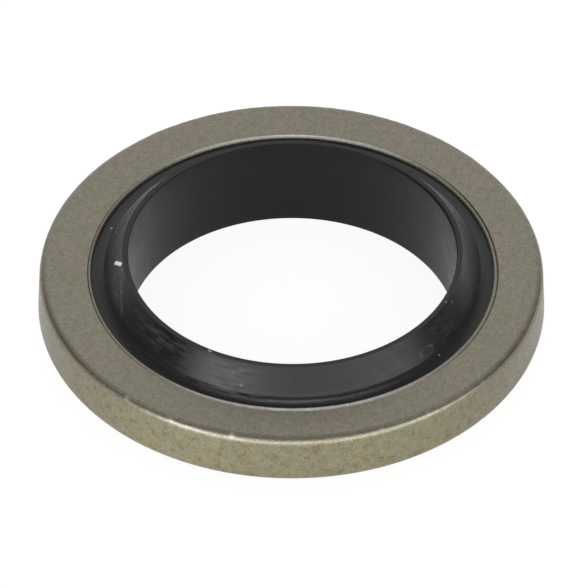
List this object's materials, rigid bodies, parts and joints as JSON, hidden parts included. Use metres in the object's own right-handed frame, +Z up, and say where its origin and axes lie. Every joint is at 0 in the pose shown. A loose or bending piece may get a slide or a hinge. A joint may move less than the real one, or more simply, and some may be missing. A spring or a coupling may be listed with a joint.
{
  "type": "sealing washer",
  "caption": "Bonded sealing washer: flat steel ring with a black rubber seal moulded into its bore, with a lip standing proud of each face.",
  "frame": {"origin": "centre of the footprint, on the axis of the bore, level with the lower lip that the washer rests on", "axes": "+Z up along the axis of the bore; X and Y lie in the plane of the washer, which is round"},
  "size_m": [0.0206, 0.0206, 0.0042],
  "materials": {
    "plated_steel": "satin olive-grey passivated plating",
    "black_rubber": "satin moulded rubber"
  },
  "bodies": {
    "root": {"steel_ring": "plated_steel", "rubber_seal": "black_rubber"}
  },
  "joints": []
}
